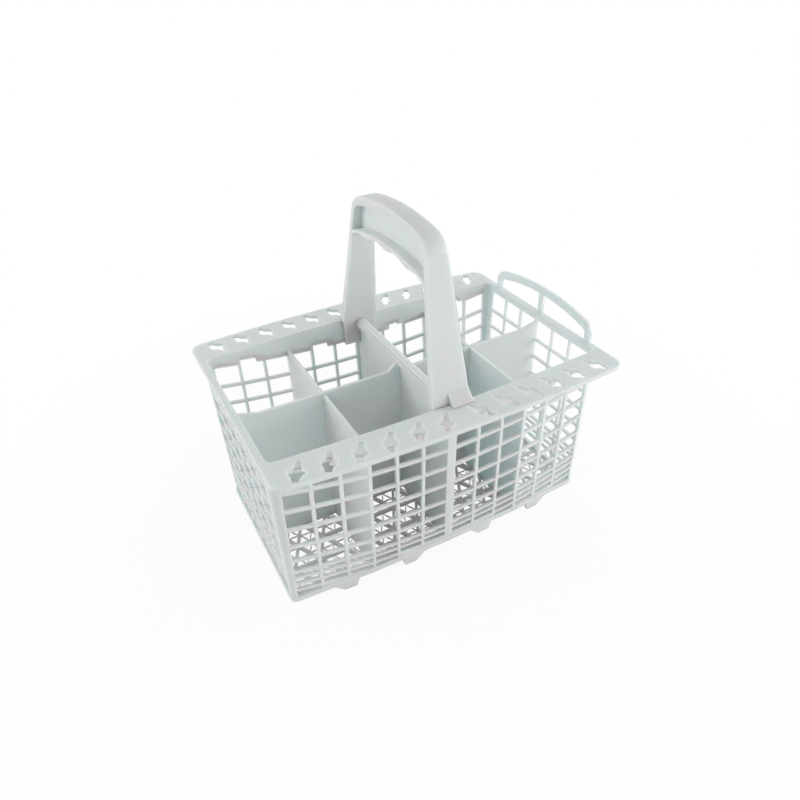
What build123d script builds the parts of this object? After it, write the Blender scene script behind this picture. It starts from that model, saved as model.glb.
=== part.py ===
from build123d import *
import os
from math import cos, dist, pi, radians, sin, tan

# Dishwasher cutlery basket: one open moulding and the carrying handle that clips into it.
# Millimetres. X runs along the length, Y across, Z up from the surface that it stands on.

# Body
half_length = 118.3        # middle to the end of the brim
end_reach = 5.7            # how far the brim reaches past the lower edge of an end wall
half_width = 60.0          # middle to the outer face of a long wall, at its ends and lower edge
wall_bow = 3.8             # how far a long wall swells outward at mid length
draft = 1.5                # the walls lean outward by this angle, in degrees
corner_radius = 3.4        # of the upright corners, at the lower edge
corner_steps = 6           # flats that turn a corner
wall = 2.2                 # thickness of the walls
rim_top = 122.0            # top of the flanges above the surface that the feet stand on
foot_height = 6.0          # the lower edge of the walls stands this far off that surface
base_band = 3.6            # solid strip along the lower edge of the walls
base_lip = 0.8             # how far that strip stands proud of the walls
floor_thickness = 2.4

# Open grid of the walls
bar = 2.0                  # width of a grid bar
end_bar = 1.7              # and of one in an end wall
centre_post = 6.0          # wide bar at mid length
corner_post = 3.6          # solid strip of a long wall at its corners, at the lower edge
columns = 6                # openings from the middle of a long wall to its corner
end_columns = 3            # openings from the middle of an end wall to its corner
end_corner = 6.0           # corner post of an end wall
end_widening = 3.6         # by which the outer opening at one corner of an end wall is wider
rim_height = 5.2           # solid strip of an end wall under the brim
skirt = 16.8               # solid strip under a flange, at mid length
bar_depths = (33.8, 48.0, 62.9, 77.6, 89.7, 100.0, 105.2, 111.0, 116.8)  # bars below the rim, at mid length
bar_rise = 12.0            # how far the bars climb along a long wall, so the last leave the base near its ends
end_rise = 12.6            # how much higher the bars of an end wall lie
least_opening = 1.6        # lower openings are left closed
notch_height = 3.5         # taller first opening in the middle column of each compartment
notch_tab = 4.5            # width of the tab left beside that notch

# Brim, which widens to a flange along each long side
flange_width = 23.2        # from the lower edge of the wall, at its ends
flange_bow = 5.5           # how far the outer edge swells outward at mid length
flange_thickness = 2.4
flange_corner = 8.0
hole_first = 11.8          # middle of the basket to the first hole
hole_slant = 27.0          # the outer ends of the holes lean towards the basket's ends
hole_half_length = 8.6
neck_half_width = 2.2
lobe_half_width = 4.6
tail_half_width = 2.8
hole_turns = (-1, -0.35, -0.05, 0.22, 0.5, 1)  # where its sides turn, as shares of its half length
hole_taper = 0.6           # share of their width that its two ends narrow to

# Hoop on one end
hoop_inset = 7.8           # from the lower edge of a long wall, at its ends, to the hoop's side
hoop_shoulder = 12.8       # top of the hoop's uprights above the rim
hoop_crown = 19.8          # top of the hoop above the rim
hoop_bar = 5.0
hoop_post = 4.6
hoop_thickness = 2.6
hoop_corner = 9.0

# Dividers
divider = 2.0
cross_drop = 11.0          # the two cross dividers end this far below the rim
long_drop = 10.0           # so does the lengthwise divider
long_end_drop = 5.0        # its ends climb to meet the rims
long_end_run = 20.0
bead_width = 7.4           # thick upper edge of the middle divider
bead_height = 5.0
bead_ridge = 4.2           # narrower ridge along the top of the bead
bead_step = 1.4
bead_ramp = 6.0            # the lengthwise divider climbs to the bead over this length

# Floor lattice
rib = 2.0
floor_rows = 3             # rows of the lattice from the lengthwise divider to a long wall
floor_cells = 3            # zigzags of a row along a compartment
floor_border = 2.2         # solid strip between the lattice and the long walls at their ends

# Feet, four under each long wall
foot_width = 9.0
foot_steep_run = 2.0
foot_slope_run = 6.5
foot_inner = 34.0          # steep side of the inner feet
foot_outer = 69.5          # steep side of the outer feet

# Handle
handle_height = 100.2      # top of the handle above the rim
leg_lean = 0.2             # inward run of a leg for each millimetre of its height
leg_thickness = 4.0
crown_rise = 5.4           # the top strip is this much higher in the middle
handle_corner = 13.0
half_width_low = 13.3      # half the handle's width at the rim
half_width_high = 6.2      # and at its top
grip_depth = 24.6          # top of the handle to the underside of the grip, at mid length
grip_rise = 5.5            # the grip is this much higher in the middle
grip_wave = 0.9
grip_waves = 3
grip_wave_pitch = 25.0
grip_strip = 2.9           # thickness of the lower strip of the grip
top_strip = 5.2            # thickness of the top strip
side_strip = 3.4           # and of the sides of the pocket
web_half = 1.5
tongue_length = 19.0       # the part of a leg that goes down inside the wall
tongue_narrowing = 0.8     # on each side, from the leg's width at the rim
lip_height = 7.0           # sloping lip that rests on the flange
lip_reach = 5.4
lip_edge = 0.9
lip_start = -2.0           # the lip runs from here to the leg's edge
fit = 0.3                  # room left round a tongue

end_wall = half_length - end_reach
body_depth = rim_top - foot_height
base_top = foot_height + base_band
draft_slope = tan(radians(draft))
draft_run = body_depth * draft_slope
opening = (end_wall - corner_post - centre_post / 2 - (columns - 1) * bar) / columns
column_pitch = opening + bar
quarter = centre_post / 2 + 3 * opening + 2.5 * bar
flange_end = half_width + flange_width
hoop_half_width = half_width - hoop_inset
leg_base = half_width + wall_bow + draft_run - wall - tongue_length * draft_slope - fit
tongue_inner = leg_base - leg_thickness


def wall_y(x):
    return half_width + wall_bow * (1 - (x / end_wall) ** 2)


def flange_y(x):
    return flange_end + flange_bow * (1 - (x / half_length) ** 2)


def wall_line(inset, side):
    end = end_wall - inset
    return [(x, side * (wall_y(x) - inset)) for x in (-end, -quarter, 0, quarter, end)]


def wall_outline(inset):
    reach = corner_radius - inset
    turns = [k * pi / 2 / corner_steps for k in range(corner_steps + 1)]
    corner = [(reach * sin(turn), reach * cos(turn)) for turn in turns]
    right = [(quarter, wall_y(quarter) - inset)]
    right += [(end_wall - corner_radius + x, half_width - corner_radius + y) for x, y in corner]
    right += [(x, -y) for x, y in right[::-1]]
    middle = (0, wall_y(0) - inset), (0, inset - wall_y(0))
    return [middle[0], *right, middle[1], *[(-x, y) for x, y in right[::-1]]]


def drafted_block(inset, height):
    with BuildPart() as block:
        with BuildSketch(Plane.XY.offset(foot_height)):
            Polygon(*wall_outline(inset), align=None)
        extrude(amount=height, taper=-draft)
    return block.part


def row_z(depth, x):
    return rim_top - depth + bar_rise * (x / half_length) ** 2


def row_edges(width):
    tops = [skirt] + [depth + width / 2 for depth in bar_depths]
    lows = [depth - width / 2 for depth in bar_depths] + [body_depth + bar_rise + end_rise]
    return list(zip(tops, lows))


def wall_openings():
    outlines = []
    for column in range(columns):
        first = centre_post / 2 + column * column_pitch
        for x0, x1 in ((first, first + opening), (-first - opening, -first)):
            for row, (top, low) in enumerate(row_edges(bar)):
                low0, low1 = [max(row_z(low, x), base_top) for x in (x0, x1)]
                if min(row_z(top, x0) - low0, row_z(top, x1) - low1) < least_opening:
                    continue
                outline = [(x0, low0), (x1, low1), (x1, row_z(top, x1))]
                if row == 0 and column % 3 == 1:
                    step = x1 - notch_tab
                    outline += [(step, row_z(top, step)), (step, row_z(top, step) + notch_height)]
                    outline += [(x0, row_z(top, x0) + notch_height)]
                else:
                    outline += [(x0, row_z(top, x0))]
                outlines.append(outline)
    return outlines


# Walls: the bowed grid of the long sides and the plain one of the ends
end_half = half_width - end_corner
end_opening = (end_half - divider / 2 - (end_columns - 1) * end_bar) / end_columns
shell = drafted_block(0, body_depth)
skirting = drafted_block(-base_lip, base_band)
cavity = drafted_block(wall, body_depth)
with BuildPart() as walls:
    add([shell, skirting])
    add(cavity, mode=Mode.SUBTRACT)
    with BuildSketch(Plane.XZ):
        add([Polygon(*outline, align=None, mode=Mode.PRIVATE) for outline in wall_openings()])
    extrude(amount=2 * half_width, both=True, mode=Mode.SUBTRACT)
    for end in (1, -1):
        with BuildSketch(Plane.YZ):
            for row, (top, low) in enumerate(row_edges(end_bar)):
                z0 = max(rim_top - low + end_rise, base_top)
                z1 = rim_top - top + end_rise if row else rim_top - rim_height
                for column in range(end_columns):
                    first = divider / 2 + column * (end_opening + end_bar)
                    for side in (1, -1):
                        last = first + end_opening
                        if side == -end and column == end_columns - 1:
                            last += end_widening
                        with Locations((side * (first + last) / 2, (z0 + z1) / 2)):
                            Rectangle(last - first, z1 - z0)
        extrude(amount=end * 2 * half_length, mode=Mode.SUBTRACT)

# Feet: each has a steep side and a sloping one
with BuildPart() as feet:
    with BuildSketch():
        for side in (1, -1):
            Polygon(*wall_line(-base_lip, side), *wall_line(wall, side)[::-1], align=None)
    extrude(amount=foot_height)
    with BuildSketch(Plane.XZ):
        for steep, away in ((foot_inner, -1), (foot_outer, 1)):
            low = steep + away * foot_width
            profile = [(steep, 0), (low, 0), (low + away * foot_slope_run, foot_height)]
            profile += [(steep - away * foot_steep_run, foot_height)]
            Polygon(*profile, align=None)
            Polygon(*[(-x, z) for x, z in profile], align=None)
    extrude(amount=2 * half_width, both=True, mode=Mode.INTERSECT)

# Brim, with slanted spade-shaped holes in its flanges, neck towards the basket
spade_widths = (neck_half_width * hole_taper, neck_half_width, lobe_half_width)
spade_widths += (lobe_half_width, tail_half_width, tail_half_width * hole_taper)
spade = [(across, turn * hole_half_length) for across, turn in zip(spade_widths, hole_turns)]
spade += [(-across, along) for across, along in spade[::-1]]
with BuildPart() as brim:
    with BuildSketch(Plane.XY.offset(rim_top - flange_thickness)) as outline:
        with BuildLine():
            far, near = [
                ThreePointArc(
                    (-half_length, side * flange_end),
                    (0, side * (flange_end + flange_bow)),
                    (half_length, side * flange_end),
                )
                for side in (1, -1)
            ]
            Line(far @ 0, near @ 0)
            Line(far @ 1, near @ 1)
        make_face()
        fillet(outline.vertices(), flange_corner)
        Polygon(*wall_outline(wall / 2 - draft_run), align=None, mode=Mode.SUBTRACT)
        for column in range(columns):
            x = hole_first + column * column_pitch
            y = (wall_y(x) + draft_run + flange_y(x)) / 2
            for end in (1, -1):
                for side in (1, -1):
                    outward = -hole_slant * end if side > 0 else 180 + hole_slant * end
                    with Locations(Location((end * x, side * y), outward)):
                        Polygon(*spade, align=None, mode=Mode.SUBTRACT)
    extrude(amount=flange_thickness)

# Dividers: two plain cross dividers, the beaded middle one and the lengthwise one
with BuildPart() as dividers:
    with BuildSketch(Plane.XY.offset(foot_height)):
        with Locations((quarter, 0), (-quarter, 0)):
            Rectangle(divider, 2 * flange_end)
    extrude(amount=body_depth - cross_drop)
    shelf = rim_top - tongue_length
    with BuildSketch(Plane.YZ):
        lower = 2 * flange_end
        upper = 2 * (tongue_inner - fit)
        with Locations((0, (foot_height + shelf) / 2)):
            Rectangle(lower, shelf - foot_height)
        with Locations((0, (shelf + rim_top) / 2)):
            Rectangle(upper, rim_top - shelf)
    extrude(amount=divider / 2, both=True)
    with BuildSketch(Plane.XY.offset(rim_top - bead_height)):
        Rectangle(bead_width, upper)
    extrude(amount=bead_height - bead_step)
    with BuildSketch(Plane.XY.offset(rim_top - bead_height)):
        Rectangle(bead_ridge, upper)
    extrude(amount=bead_height)
    with BuildSketch(Plane.XZ):
        half = [(0, foot_height), (half_length, foot_height)]
        half += [(half_length, rim_top - long_end_drop)]
        half += [(half_length - long_end_run, rim_top - long_drop)]
        half += [(bead_width / 2 + bead_ramp, rim_top - long_drop)]
        half += [(bead_width / 2, rim_top - bead_height), (0, rim_top - bead_height)]
        Polygon(*half, align=None)
        Polygon(*[(-x, z) for x, z in half], align=None)
    extrude(amount=divider / 2, both=True)

# Floor: in each compartment, level ribs with zigzag ribs between them
def rib_hole(corners):
    sides = [dist(corners[k - 1], corners[k - 2]) for k in range(3)]
    around = sum(sides)
    middle_x = sum(side * x for side, (x, y) in zip(sides, corners)) / around
    middle_y = sum(side * y for side, (x, y) in zip(sides, corners)) / around
    (x0, y0), (x1, y1), (x2, y2) = corners
    inradius = abs((x1 - x0) * (y2 - y0) - (x2 - x0) * (y1 - y0)) / around
    keep = 1 - rib / 2 / inradius
    return [(middle_x + keep * (x - middle_x), middle_y + keep * (y - middle_y)) for x, y in corners]


def floor_holes():
    holes = []
    height = (half_width - wall - floor_border) / floor_rows
    for start, end in ((0, quarter), (quarter, end_wall - wall / 2)):
        base = (end - start) / floor_cells
        for row in range(floor_rows):
            low, high = row * height, (row + 1) * height
            if row % 2:
                low, high = high, low
            levels = [low if k % 2 else high for k in range(2 * floor_cells + 1)]
            zigzag = [(start + k * base / 2, level) for k, level in enumerate(levels)]
            holes += [zigzag[k:k + 3] for k in range(2 * floor_cells - 1)]
            holes += [[zigzag[0], zigzag[1], (start, low)], [zigzag[-1], zigzag[-2], (end, low)]]
    holes = [rib_hole(hole) for hole in holes]
    return [[(i * x, j * y) for x, y in hole] for hole in holes for i in (1, -1) for j in (1, -1)]


with BuildPart() as basket_floor:
    with BuildSketch(Plane.XY.offset(foot_height)):
        Polygon(*wall_outline(wall / 2), align=None)
        holes = [Polygon(*hole, align=None, mode=Mode.PRIVATE) for hole in floor_holes()]
        add(holes, mode=Mode.SUBTRACT)
    extrude(amount=floor_thickness)

# Hoop on one end, with its middle post
with BuildPart() as hoop:
    plane = Plane.YZ.offset(half_length - hoop_thickness)
    for inset, mode in ((0, Mode.ADD), (hoop_bar, Mode.SUBTRACT)):
        with BuildSketch(plane) as outline:
            reach = hoop_half_width - inset
            foot = rim_top - wall - inset
            shoulder = rim_top + hoop_shoulder - inset
            with BuildLine():
                middle = (0, rim_top + hoop_crown - inset)
                crown = ThreePointArc((-reach, shoulder), middle, (reach, shoulder))
                Polyline(crown @ 0, (-reach, foot), (reach, foot), crown @ 1)
            make_face()
            fillet(outline.vertices().group_by(Axis.Y)[-1], hoop_corner - inset)
        extrude(amount=hoop_thickness, mode=mode)
    with BuildSketch(plane):
        with Locations((0, rim_top + (hoop_crown - hoop_bar / 2 - wall) / 2)):
            Rectangle(hoop_post, hoop_crown - hoop_bar / 2 + wall)
    extrude(amount=hoop_thickness)

# Dividers and floor, let into half the thickness of the walls
core = drafted_block(wall / 2, body_depth)
with BuildPart() as inside:
    add([dividers.part, basket_floor.part])
    add(core, mode=Mode.INTERSECT)

# The basket is one moulding
with BuildPart() as basket:
    add(walls.part)
    add([feet.part, brim.part, inside.part, hoop.part])

# Handle: two leaning legs, a pocketed grip with a waved underside, and a tongue on each leg
handle_top = rim_top + handle_height
crown_ends = handle_top - crown_rise
grip_middle = handle_top - grip_depth
grip_ends = grip_middle - grip_rise


def leg_outer(z):
    return leg_base - leg_lean * (z - rim_top)


def grip_point(step):
    y = step * grip_wave_pitch / 4
    arch = grip_rise * (y / leg_outer(grip_ends)) ** 2
    return y, grip_middle - arch - grip_wave * cos(2 * pi * y / grip_wave_pitch)


with BuildPart() as handle:
    with BuildSketch(Plane.YZ) as arch:
        with BuildLine():
            shoulder = leg_outer(crown_ends)
            top = ThreePointArc((-shoulder, crown_ends), (0, handle_top), (shoulder, crown_ends))
            Polyline(top @ 0, (-leg_base, rim_top), (leg_base, rim_top), top @ 1)
        make_face()
        fillet(arch.vertices().group_by(Axis.Y)[-1], handle_corner)
    extrude(amount=half_width_low, both=True)
    with BuildSketch(Plane.YZ):
        with BuildLine():
            wave = Spline(*[grip_point(step) for step in range(-2 * grip_waves, 2 * grip_waves + 1)])
            under = [(leg_outer(grip_ends) - leg_thickness, grip_ends), (tongue_inner, rim_top)]
            Polyline(wave @ 0, *[(-y, z) for y, z in under], *under[::-1], wave @ 1)
        make_face()
    extrude(amount=half_width_low, both=True, mode=Mode.SUBTRACT)
    with BuildSketch(Plane.XZ):
        taper = [(half_width_low, rim_top), (half_width_high, handle_top)]
        Polygon(*taper, *[(-x, z) for x, z in taper[::-1]], align=None)
    extrude(amount=2 * half_width, both=True, mode=Mode.INTERSECT)
    # pockets on both sides of the web
    for side in (1, -1):
        with BuildSketch(Plane.YZ.offset(side * web_half)) as pocket:
            high = crown_ends - top_strip
            low = grip_ends + grip_strip
            high_side = leg_outer(high) - side_strip
            low_side = leg_outer(low) - side_strip
            with BuildLine():
                top = ThreePointArc((-high_side, high), (0, high + crown_rise), (high_side, high))
                under = ThreePointArc((-low_side, low), (0, low + grip_rise), (low_side, low))
                Line(top @ 0, under @ 0)
                Line(top @ 1, under @ 1)
            make_face()
            fillet(pocket.vertices().group_by(Axis.Y)[-1], handle_corner - side_strip)
        extrude(amount=side * half_width_low, mode=Mode.SUBTRACT)
    # tongues that go down inside the walls
    with BuildSketch(Plane.XY.offset(rim_top)):
        for side in (1, -1):
            with Locations((0, side * (tongue_inner + leg_base) / 2)):
                Rectangle(2 * (half_width_low - tongue_narrowing), leg_thickness)
    extrude(amount=fit - tongue_length)
    # a lip on each leg, turned half round from the other, that rests on the flange
    lip_inner = leg_base - leg_thickness / 2
    lip_outer = leg_base + lip_reach
    lip_top = rim_top + lip_height
    lip = [(lip_inner, rim_top), (lip_outer, rim_top), (lip_outer, rim_top + lip_edge)]
    lip += [(leg_outer(lip_top), lip_top), (lip_inner, lip_top)]
    for side in (1, -1):
        with BuildSketch(Plane.YZ.offset(-side * lip_start)):
            Polygon(*[(side * y, z) for y, z in lip], align=None)
        extrude(amount=-side * (half_width_low - tongue_narrowing - lip_start))

basket.part.label = "basket"
handle.part.label = "handle"
os.makedirs("parts", exist_ok=True)
export_step(basket.part, "parts/basket.step")
export_step(handle.part, "parts/handle.step")
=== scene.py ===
from math import radians

import bmesh
import bpy
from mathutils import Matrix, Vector


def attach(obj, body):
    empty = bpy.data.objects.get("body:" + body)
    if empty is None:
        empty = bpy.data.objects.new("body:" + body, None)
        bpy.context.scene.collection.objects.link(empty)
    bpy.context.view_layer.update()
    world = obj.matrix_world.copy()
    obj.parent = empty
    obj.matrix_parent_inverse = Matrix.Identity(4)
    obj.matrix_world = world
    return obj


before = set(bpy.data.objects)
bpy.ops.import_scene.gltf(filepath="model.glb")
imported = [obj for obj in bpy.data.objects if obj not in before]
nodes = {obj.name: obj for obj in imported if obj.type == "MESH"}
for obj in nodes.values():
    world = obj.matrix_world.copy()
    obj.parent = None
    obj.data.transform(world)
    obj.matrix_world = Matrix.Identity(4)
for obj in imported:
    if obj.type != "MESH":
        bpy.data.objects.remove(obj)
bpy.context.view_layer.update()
print("frame in place:", ", ".join(sorted(nodes)))


class Signal:  # the output of a node, which can stand in an expression
    def __init__(self, net, socket):
        self.net = net
        self.socket = socket

    def maths(self, operation, first, second):
        return self.net.add("ShaderNodeMath", {"operation": operation}, {0: first, 1: second})

    def __add__(self, other):
        return self.maths("ADD", self, other)

    def __radd__(self, other):
        return self.maths("ADD", other, self)

    def __sub__(self, other):
        return self.maths("SUBTRACT", self, other)

    def __rsub__(self, other):
        return self.maths("SUBTRACT", other, self)

    def __mul__(self, other):
        return self.maths("MULTIPLY", self, other)

    def __rmul__(self, other):
        return self.maths("MULTIPLY", other, self)


class Net:  # the nodes of a material or of the world
    def __init__(self, owner):
        owner.use_nodes = True
        self.tree = owner.node_tree
        self.tree.nodes.clear()

    def add(self, kind, settings=None, sockets=None, output=0):
        node = self.tree.nodes.new(kind)
        for name, value in (settings or {}).items():
            setattr(node, name, value)
        for name, value in (sockets or {}).items():
            if isinstance(value, Signal):
                self.tree.links.new(value.socket, node.inputs[name])
            else:
                node.inputs[name].default_value = value
        return Signal(self, node.outputs[output]) if len(node.outputs) else node

    def noise(self, place, scale, detail):
        return self.add("ShaderNodeTexNoise", {}, {"Vector": place, "Scale": scale, "Detail": detail})

    def stretched(self, place, scale):
        return self.add("ShaderNodeVectorMath", {"operation": "MULTIPLY"}, {0: place, 1: scale})

    def mixed(self, share, first, second):
        return self.add("ShaderNodeMix", {"data_type": "RGBA"}, {0: share, 6: first, 7: second}, 2)

    def band(self, value, ends):  # 0 below the first end, 1 above the second
        sockets = {"Value": value, "From Min": ends[0], "From Max": ends[1]}
        return self.add("ShaderNodeMapRange", {"interpolation_type": "SMOOTHSTEP"}, sockets)


# Moulded plastic: cloudy flow, fine draw marks down the walls, a spark-eroded grain
def mouldedPlastic(name, look):
    material = bpy.data.materials.new(name)
    net = Net(material)
    place = net.add("ShaderNodeTexCoord", {}, {}, "Object")
    clouds = net.band(net.noise(place, look["cloudScale"], look["cloudDetail"]), look["cloudBand"])
    drawn = net.stretched(place, look["drawStretch"])
    marks = net.band(net.noise(drawn, look["drawScale"], look["drawDetail"]), look["drawBand"])
    grain = net.noise(place, look["grainScale"], look["grainDetail"])
    specks = net.band(net.noise(place, look["speckScale"], look["speckDetail"]), look["speckBand"])
    colour = net.mixed(clouds * look["cloudShare"], look["colour"], look["cool"])
    colour = net.mixed(marks * look["drawShare"], colour, look["drawn"])
    colour = net.mixed(specks * look["speckShare"], colour, look["speck"])
    roughness = look["roughness"] + look["roughnessSpan"] * (grain - look["grainMiddle"])
    roughness = roughness - look["drawPolish"] * marks
    height = grain * look["grainShare"] + marks * look["drawDepth"]
    bump = net.add("ShaderNodeBump", {}, {"Strength": 1.0, "Distance": look["bump"], "Height": height})
    shader = net.add("ShaderNodeBsdfPrincipled", {}, {
        "Base Color": colour,
        "Roughness": roughness,
        "Normal": bump,
        "IOR": look["ior"],
        "Specular IOR Level": look["gloss"],
        "Subsurface Weight": look["glow"],
        "Subsurface Radius": look["glowTint"],
        "Subsurface Scale": look["glowDepth"],
    })
    net.add("ShaderNodeOutputMaterial", {}, {"Surface": shader})
    return material


basketLook = {
    "colour": (0.714, 0.722, 0.716, 1.0),
    "cool": (0.678, 0.694, 0.694, 1.0),
    "drawn": (0.746, 0.750, 0.744, 1.0),
    "speck": (0.622, 0.630, 0.625, 1.0),
    "cloudScale": 16.0,
    "cloudDetail": 3.0,
    "cloudBand": (0.32, 0.68),
    "cloudShare": 0.6,
    "drawStretch": (1.0, 1.0, 0.03),  # marks run down the walls
    "drawScale": 420.0,
    "drawDetail": 2.0,
    "drawBand": (0.45, 0.75),
    "drawShare": 0.35,
    "drawPolish": 0.06,
    "drawDepth": 0.25,
    "grainScale": 1500.0,
    "grainDetail": 2.0,
    "grainMiddle": 0.5,
    "grainShare": 1.0,
    "speckScale": 260.0,
    "speckDetail": 1.0,
    "speckBand": (0.72, 0.80),
    "speckShare": 0.25,
    "roughness": 0.44,
    "roughnessSpan": 0.16,
    "ior": 1.49,
    "gloss": 0.42,
    "bump": 0.00004,
    "glow": 0.85,  # share of the light that enters the plastic
    "glowDepth": 0.005,
    "glowTint": (0.6, 1.0, 1.0),  # red goes less deep
}
handleLook = {
    **basketLook,
    "colour": (0.706, 0.712, 0.704, 1.0),
    "cool": (0.674, 0.688, 0.682, 1.0),
    "drawShare": 0.2,
    "roughness": 0.48,
}
mouldedEdges = {
    "basket": 0.00035,  # rounding, in metres
    "handle": 0.0006,
    "segments": 2,
    "sharp": 35,  # degrees from which an edge is rounded
    "flat": 0.5,  # degrees up to which facets are one face
    "weld": 0.00001,
}


def roundEdges(piece, name, edges):
    weld = piece.modifiers.new("weld", "WELD")
    weld.merge_threshold = edges["weld"]
    flat = piece.modifiers.new("flat", "DECIMATE")
    flat.decimate_type = "DISSOLVE"
    flat.angle_limit = radians(edges["flat"])
    bevel = piece.modifiers.new("edges", "BEVEL")
    bevel.width = edges[name]
    bevel.segments = edges["segments"]
    bevel.limit_method = "ANGLE"
    bevel.angle_limit = radians(edges["sharp"])
    bevel.harden_normals = True


for name, look in (("basket", basketLook), ("handle", handleLook)):
    piece = nodes[name]
    piece.data.materials.clear()
    piece.data.materials.append(mouldedPlastic(name + "Plastic", look))
    roundEdges(piece, name, mouldedEdges)
print("plastic and edges done")

# Fine ribs of the floor: a small triangle inside each triangle of the main lattice
floorRibs = {
    "start": 0.0,  # middle of the basket
    "cross": 0.056,  # middle of a cross divider
    "end": 0.1115,
    "depth": 0.0556,  # from the lengthwise divider to the border of the lattice
    "rows": 3,
    "cells": 3,  # triangles along a row of one compartment
    "low": 0.0061,
    "high": 0.0069,
    "width": 0.0009,
    "bow": 0.0006,
    "steps": 4,  # straight stretches along one side
}


def latticeTriangles(ribs):
    triangles = []
    height = ribs["depth"] / ribs["rows"]
    points = 2 * ribs["cells"] + 1
    for start, end in ((ribs["start"], ribs["cross"]), (ribs["cross"], ribs["end"])):
        base = (end - start) / ribs["cells"]
        for row in range(ribs["rows"]):
            low, high = row * height, (row + 1) * height
            if row % 2:
                low, high = high, low
            zigzag = [Vector((start + k * base / 2, low if k % 2 else high)) for k in range(points)]
            triangles += [zigzag[k:k + 3] for k in range(points - 2)]
            triangles.append([zigzag[0], zigzag[1], Vector((start, low))])
            triangles.append([zigzag[-1], zigzag[-2], Vector((end, low))])
    return triangles


def ribRing(corners, ribs):  # plan points of the outer and inner edge of one small triangle
    middles = [(corners[k] + corners[k - 1]) / 2 for k in range(3)]
    centre = sum(middles, Vector((0.0, 0.0))) / 3
    path = []
    for k in range(3):
        first, second = middles[k], middles[(k + 1) % 3]
        inward = (centre - (first + second) / 2).normalized()
        for step in range(ribs["steps"]):
            share = step / ribs["steps"]
            path.append(first.lerp(second, share) + inward * ribs["bow"] * 4 * share * (1 - share))
    outer = [point + (point - centre).normalized() * ribs["width"] / 2 for point in path]
    inner = [point - (point - centre).normalized() * ribs["width"] / 2 for point in path]
    return outer, inner


def closedMesh(name, vertices, faces):  # with its faces turned outward
    mesh = bpy.data.meshes.new(name)
    mesh.from_pydata(vertices, [], faces)
    outward = bmesh.new()
    outward.from_mesh(mesh)
    bmesh.ops.recalc_face_normals(outward, faces=outward.faces)
    outward.to_mesh(mesh)
    outward.free()
    return mesh


def ribMesh(ribs):
    vertices, faces = [], []
    for corners in latticeTriangles(ribs):
        outer, inner = ribRing(corners, ribs)
        count = len(outer)
        loops = [(outer, ribs["low"]), (inner, ribs["low"]), (inner, ribs["high"]), (outer, ribs["high"])]
        for along, across in ((1, 1), (-1, 1), (1, -1), (-1, -1)):  # the four quarters of the floor
            base = len(vertices)
            for loop, z in loops:
                vertices += [(along * x, across * y, z) for x, y in loop]
            for k in range(len(loops)):
                this, following = base + k * count, base + (k + 1) % len(loops) * count
                for step in range(count):
                    after = (step + 1) % count
                    faces.append([this + step, this + after, following + after, following + step])
    return closedMesh("floorRibs", vertices, faces)


# Lower edge of the skirts: a strip across the first openings of the long walls, with notches and tabs
skirtEdge = {
    "half": 0.060,  # outer face of a long wall at its ends and lower edge
    "bow": 0.0038,  # swell of the wall at mid length
    "end": 0.1126,
    "lean": 0.0262,
    "base": 0.006,
    "rim": 0.122,
    "wall": 0.0022,
    "sunk": 0.0001,  # below both faces of the wall
    "climb": 0.012,  # rise of the skirt towards the corners
    "length": 0.1183,
    "edge": 0.0168,  # depth of the solid's skirt below the rim
    "drop": 0.0019,  # how far the strip goes below it
    "first": 0.003,
    "opening": 0.016,
    "pitch": 0.018,
    "columns": 6,
    "notchEvery": 3,
    "notchAt": 1,
    "notch": 0.0035,
    "tab": 0.0045,
    "bite": 0.0005,  # reach into the solid
    "steps": 4,
}


def skirtSpans(skirt):  # reach along the wall, upper and lower depth of each stretch
    spans = []
    high, low = skirt["edge"] - skirt["bite"], skirt["edge"] + skirt["drop"]
    for column in range(skirt["columns"]):
        start = skirt["first"] + column * skirt["pitch"]
        end = start + skirt["opening"]
        tab, outer = start + skirt["tab"], end - skirt["tab"]
        start, end = start - skirt["bite"], end + skirt["bite"]
        for way in (1, -1):
            if column % skirt["notchEvery"] != skirt["notchAt"]:
                spans.append((way * start, way * end, high, low))
            else:  # a tab towards the middle, then the notch
                spans.append((way * start, way * tab, high - skirt["notch"], low))
                reach = outer if way > 0 else end
                spans.append((way * tab, way * reach, high - skirt["notch"], low - skirt["notch"]))
    return spans


def skirtPoint(skirt, x, depth, inset):
    z = skirt["rim"] - depth + skirt["climb"] * (x / skirt["length"]) ** 2
    y = skirt["half"] + skirt["bow"] * (1 - (x / skirt["end"]) ** 2) + (z - skirt["base"]) * skirt["lean"]
    return x, y - inset, z


def skirtMesh(skirt):
    vertices, faces = [], []
    outer, inner = skirt["sunk"], skirt["wall"] - skirt["sunk"]
    for side in (1, -1):
        for start, end, high, low in skirtSpans(skirt):
            base = len(vertices)
            ring = [(high, outer), (low, outer), (low, inner), (high, inner)]
            count = len(ring)
            for step in range(skirt["steps"] + 1):
                x = start + (end - start) * step / skirt["steps"]
                points = [skirtPoint(skirt, x, depth, inset) for depth, inset in ring]
                vertices += [(x, side * y, z) for x, y, z in points]
            for step in range(skirt["steps"]):
                for k in range(count):
                    quad = (k, (k + 1) % count, (k + 1) % count + count, k + count)
                    faces.append([base + count * step + corner for corner in quad])
            faces.append([base + k for k in range(count)])
            faces.append([base + count * skirt["steps"] + k for k in range(count)])
    return closedMesh("skirtEdge", vertices, faces)


def addToBasket(name, mesh):
    piece = bpy.data.objects.new(name, mesh)
    bpy.context.scene.collection.objects.link(piece)
    piece.data.materials.append(bpy.data.materials["basketPlastic"])
    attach(piece, "root")


addToBasket("floorRibs", ribMesh(floorRibs))
addToBasket("skirtEdge", skirtMesh(skirtEdge))
print("floor ribs and skirt edges done")

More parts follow.
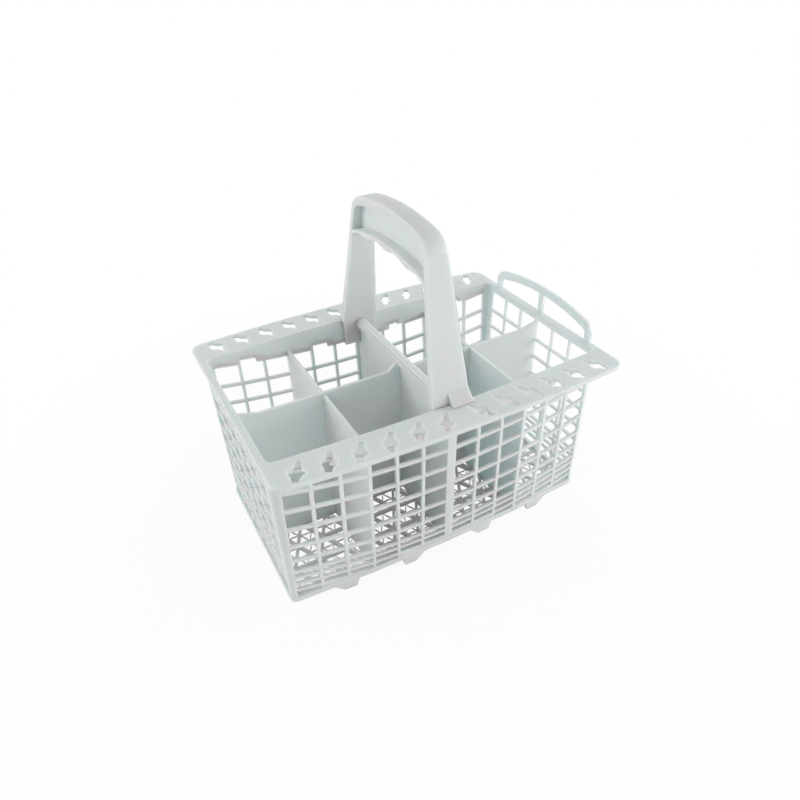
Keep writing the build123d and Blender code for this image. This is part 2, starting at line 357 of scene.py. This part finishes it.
# Pale floor that turns white for the camera and keeps a trace of the shadow
white = (1.0, 1.0, 1.0, 1.0)
floorLook = {
    "size": 14.0,
    "colour": (0.9, 0.9, 0.9, 1.0),
    "trace": 0.08,  # share of the shadow that is kept
    "fade": (0.15, 0.40),  # distances over which it goes
}
bpy.ops.mesh.primitive_plane_add(size=floorLook["size"])
floor = bpy.context.object
floor.name = "floor"


def seenDirectly(net):
    kinds = ("Is Camera Ray", "Is Glossy Ray", "Is Transmission Ray")
    camera, glossy, transmission = [net.add("ShaderNodeLightPath", {}, {}, kind) for kind in kinds]
    return camera + glossy + transmission


floorMaterial = bpy.data.materials.new("paleFloor")
floorNet = Net(floorMaterial)
matt = floorNet.add("ShaderNodeBsdfDiffuse", {}, {"Color": floorLook["colour"]})
plainWhite = floorNet.add("ShaderNodeEmission", {}, {"Color": white, "Strength": 1.0})
place = floorNet.add("ShaderNodeTexCoord", {}, {}, "Object")
away = floorNet.add("ShaderNodeVectorMath", {"operation": "LENGTH"}, {0: place}, "Value")
trace = floorLook["trace"] * (1.0 - floorNet.band(away, floorLook["fade"]))
share = seenDirectly(floorNet) * (1.0 - trace)
surface = floorNet.add("ShaderNodeMixShader", {}, {0: share, 1: matt, 2: plainWhite})
floorNet.add("ShaderNodeOutputMaterial", {}, {"Surface": surface})
floor.data.materials.append(floorMaterial)
print("floor done")

# Studio: a white tent and four broad lamps, low on the right and in front, higher behind on the left
tentStrength = 0.62
lampAim = Vector((0.0, 0.0, 0.09))
lamps = {
    "right": {"place": (1.494, 0.0, 0.36), "width": 1.0, "height": 0.7, "power": 5.0},
    "front": {"place": (0.747, -1.294, 0.36), "width": 1.0, "height": 0.7, "power": 4.2},
    "close": {"place": (0.61, -0.35, 0.22), "width": 0.5, "height": 0.4, "power": 1.35},
    "left": {"place": (-1.235, 0.713, 0.554), "width": 1.0, "height": 1.0, "power": 8.6},
}
world = bpy.data.worlds.new("tent")
bpy.context.scene.world = world
worldNet = Net(world)
light = worldNet.add("ShaderNodeBackground", {}, {"Color": white, "Strength": tentStrength})
backdrop = worldNet.add("ShaderNodeBackground", {}, {"Color": white, "Strength": 1.0})
tent = worldNet.add("ShaderNodeMixShader", {}, {0: seenDirectly(worldNet), 1: light, 2: backdrop})
worldNet.add("ShaderNodeOutputWorld", {}, {"Surface": tent})
for name, lamp in lamps.items():
    data = bpy.data.lights.new(name, "AREA")
    data.shape = "RECTANGLE"
    data.size = lamp["width"]
    data.size_y = lamp["height"]
    data.energy = lamp["power"]
    lampObject = bpy.data.objects.new(name, data)
    lampObject.location = lamp["place"]
    lampObject.rotation_euler = (lampAim - lampObject.location).to_track_quat("-Z", "Y").to_euler()
    bpy.context.scene.collection.objects.link(lampObject)
print("studio done")

# Camera, fitted to the photograph
shot = {
    "place": (-0.17330, -0.32879, 0.34835),
    "turn": (54.739, 1.426, -28.688),  # degrees
    "lens": 29.552,
    "sensor": 36.0,
    "nearest": 0.01,
}
cameraData = bpy.data.cameras.new("camera")
cameraData.lens = shot["lens"]
cameraData.sensor_width = shot["sensor"]
cameraData.clip_start = shot["nearest"]
camera = bpy.data.objects.new("camera", cameraData)
camera.location = shot["place"]
camera.rotation_euler = [radians(angle) for angle in shot["turn"]]
bpy.context.scene.collection.objects.link(camera)
bpy.context.scene.camera = camera
bpy.context.scene.view_settings.view_transform = "Standard"
print("camera done")
